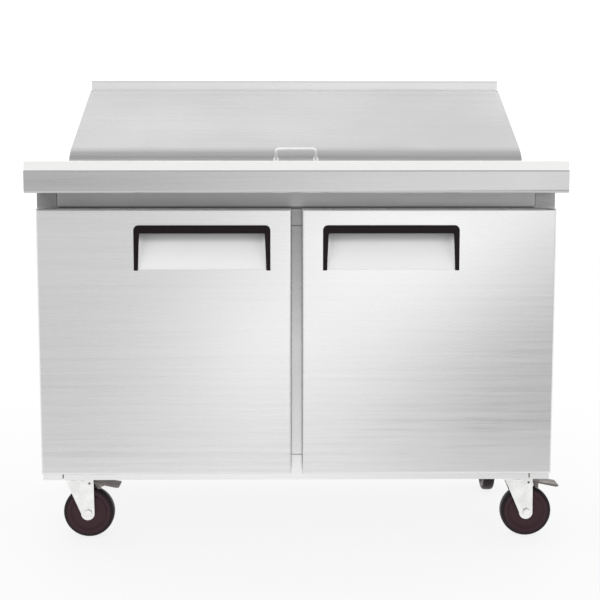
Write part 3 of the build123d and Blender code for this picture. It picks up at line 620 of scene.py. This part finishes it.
# The swivel head's dust ring, under each caster's crown.
ring_height = 0.1474
ring_outline = [
    (-0.2, 22.6), (-6.0, 22.8), (-7.2, 24.0), (-7.4, 27.0), (-6.6, 29.6), (-4.4, 30.9), (-1.2, 31.2),
    (-0.2, 30.6),
]
for corner, (x, y) in casters.items():
    loops = spun((x, y, ring_height), (0, 0, 1), ring_outline, 72)
    piece(
        "dust_ring_" + corner, "swivel_" + corner, "zinc",
        joined_points(loops), skin_loops(loops, closed=True), seam_angle=50,
    )

# Hexagon bolt heads with a pressed flange, under the caster plates.
plate_underside = 0.1514
flange_outline = [(4.0, 6.0), (3.2, 6.0), (2.8, 5.4)]
head_outline = [(2.8, 5.0), (0.6, 5.0), (0.0, 4.2)]
bolt_from_swivel = [(across, along) for across in (-0.023, 0.023) for along in (-0.038, 0.038)]
points, faces = [], []
for x in (-caster_x, caster_x):
    for y in caster_y.values():
        for across, along in bolt_from_swivel:
            centre = (x + across, y + along, plate_underside)
            for outline, steps in ((flange_outline, 30), (head_outline, 6)):
                loops = spun(centre, (0, 0, 1), outline, steps)
                faces += skin_loops(loops, capped=True, first=len(points))
                points += joined_points(loops)
piece("bolts_formed", "cabinet", "zinc", points, faces, replaced=("screws",), seam_angle=30)

# ---- camera, light and floor ------------------------------------------------------------
camera = bpy.data.objects.new("Camera", bpy.data.cameras.new("Camera"))
scene.collection.objects.link(camera)
camera.location = (-0.025, -3.256, 0.938)
downward, rightward = 6.46, 0.63  # degrees
camera.rotation_euler = (radians(90 - downward), 0, radians(-rightward))
camera.data.lens = 76.8
camera.data.sensor_width = 36.0
scene.camera = camera
scene.view_settings.view_transform = "Standard"

# The room: bright all round, with one dim patch overhead that leans to the front.
world = bpy.data.worlds.new("Studio")
scene.world = world
world.use_nodes = True
studio = NodeTree(world.node_tree)
direction = studio.add("ShaderNodeTexCoord").outputs["Generated"]
patch_up, patch_edge, patch_core = radians(78), radians(47), radians(31)
room_light, patch_light, wall_light = 0.93, 0.38, 0.18
toward = studio.vector("DOT_PRODUCT", direction, (0, -cos(patch_up), sin(patch_up)))
room = studio.fit(toward, cos(patch_edge), cos(patch_core), room_light, patch_light)
# a brighter wall behind the table
behind = studio.fit(studio.axis(direction, Y), 0.74, 0.92, 0.0, wall_light)
seen = studio.add("ShaderNodeLightPath").outputs["Is Camera Ray"]
background = studio.tree.nodes["Background"]
studio.set(background.inputs["Strength"], studio.math("MAXIMUM", studio.math("ADD", room, behind), seen))
studio.set(background.inputs["Color"], (1, 1, 1, 1))


def area_light(name, where, aim, width, watts):
    """A square soft light that lights matt surfaces and leaves no patch in reflections."""
    data = bpy.data.lights.new(name, "AREA")
    data.shape = "SQUARE"
    data.size, data.energy = width, watts
    lamp = bpy.data.objects.new(name, data)
    scene.collection.objects.link(lamp)
    lamp.location = where
    lamp.rotation_euler = (Vector(aim) - Vector(where)).to_track_quat("-Z", "Y").to_euler()
    lamp.visible_camera = False
    lamp.visible_glossy = False


area_light("Key left", (-2.6, -3.2, 1.9), (0, 0, 0.55), 1.8, 5)
area_light("Key right", (2.6, -3.2, 1.9), (0, 0, 0.55), 1.8, 5)
area_light("Top", (0, 0.3, 3.2), (0, 0.2, 0.5), 2.6, 30)


def sheet(name, corners):
    mesh = bpy.data.meshes.new(name)
    mesh.from_pydata(corners, [], [tuple(range(len(corners)))])
    obj = bpy.data.objects.new(name, mesh)
    scene.collection.objects.link(obj)
    return obj


# A graded reflector stands in front of the doors. Only reflections see it.
card_y, card_half, card_top = -1.0, 1.5, 0.97
card = sheet("Reflector", [
    (-card_half, card_y, 0.0), (card_half, card_y, 0.0),
    (card_half, card_y, card_top), (-card_half, card_y, card_top),
])
for flag in ("camera", "diffuse", "transmission", "volume_scatter", "shadow"):
    setattr(card, "visible_" + flag, False)
look = Shader("Graded reflector")
at = look.place()
side, height = look.axis(at, X), look.axis(at, Z)
# a ridge of light climbs to the right and brightens as it climbs
ridge_foot, ridge_lean = -0.365, 0.965  # where it meets the floor, and its run to the right per height
ridge_way = (0.695, 0, 0.72)
ridge_half = 0.9
from_foot = look.vector("ADD", at, (-ridge_foot, 0, 0))
off_ridge = look.math("ABSOLUTE", look.vector("DOT_PRODUCT", from_foot, (1.0, 0, -ridge_lean)))
along_ridge = look.vector("DOT_PRODUCT", at, ridge_way)
low_part = look.fit(along_ridge, -0.55, 0.35, 0.0, 0.50, smooth=True)
crest = look.math("ADD", low_part, look.fit(along_ridge, 0.4, 0.85, 0.0, 0.14))
glow = look.math("MULTIPLY", look.fit(off_ridge, 0.0, ridge_half, 1.0, 0.0, smooth=True), crest)
# under it, a base that dims to the right and brightens upward
glow = look.math("ADD", glow, look.fit(side, -0.7, 0.7, 0.69, 0.50))
glow = look.math("ADD", glow, look.fit(height, 0.0, 0.8, -0.09, 0.08))
# a strip along its top, which shows in the apron, brightens to the right
strip = look.fit(side, -0.75, 0.75, 0.57, 1.28)
glow = look.axis(look.mix(look.fit(height, 0.79, 0.84), glow, strip), X)
emit = look.add("ShaderNodeEmission")
look.set(emit.inputs["Strength"], glow)
look.output(emit.outputs[0])
card.data.materials.append(look.material)

floor_radius, floor_sides = 12, 96
turns = [2 * pi * n / floor_sides for n in range(floor_sides)]
floor = sheet("Floor", [(floor_radius * cos(turn), floor_radius * sin(turn), 0) for turn in turns])
look = Shader("Pale floor")
at = look.place()
cloud = look.noise(at, scale=3.0, detail=3.0)
tint = look.shade((0.92, 0.92, 0.92), look.fit(cloud, *MIDDLE, 0.99, 1.01))
look.finish(Base_Color=tint, Roughness=0.7)
# far off it fades into the white background
far = look.fit(look.vector("LENGTH", at), 0.5, 2.0, 0.82, 1.0)
glow = look.add("ShaderNodeEmission").outputs[0]
look.output(look.add("ShaderNodeMixShader", far, look.surface.outputs[0], glow).outputs[0])
floor.data.materials.append(look.material)
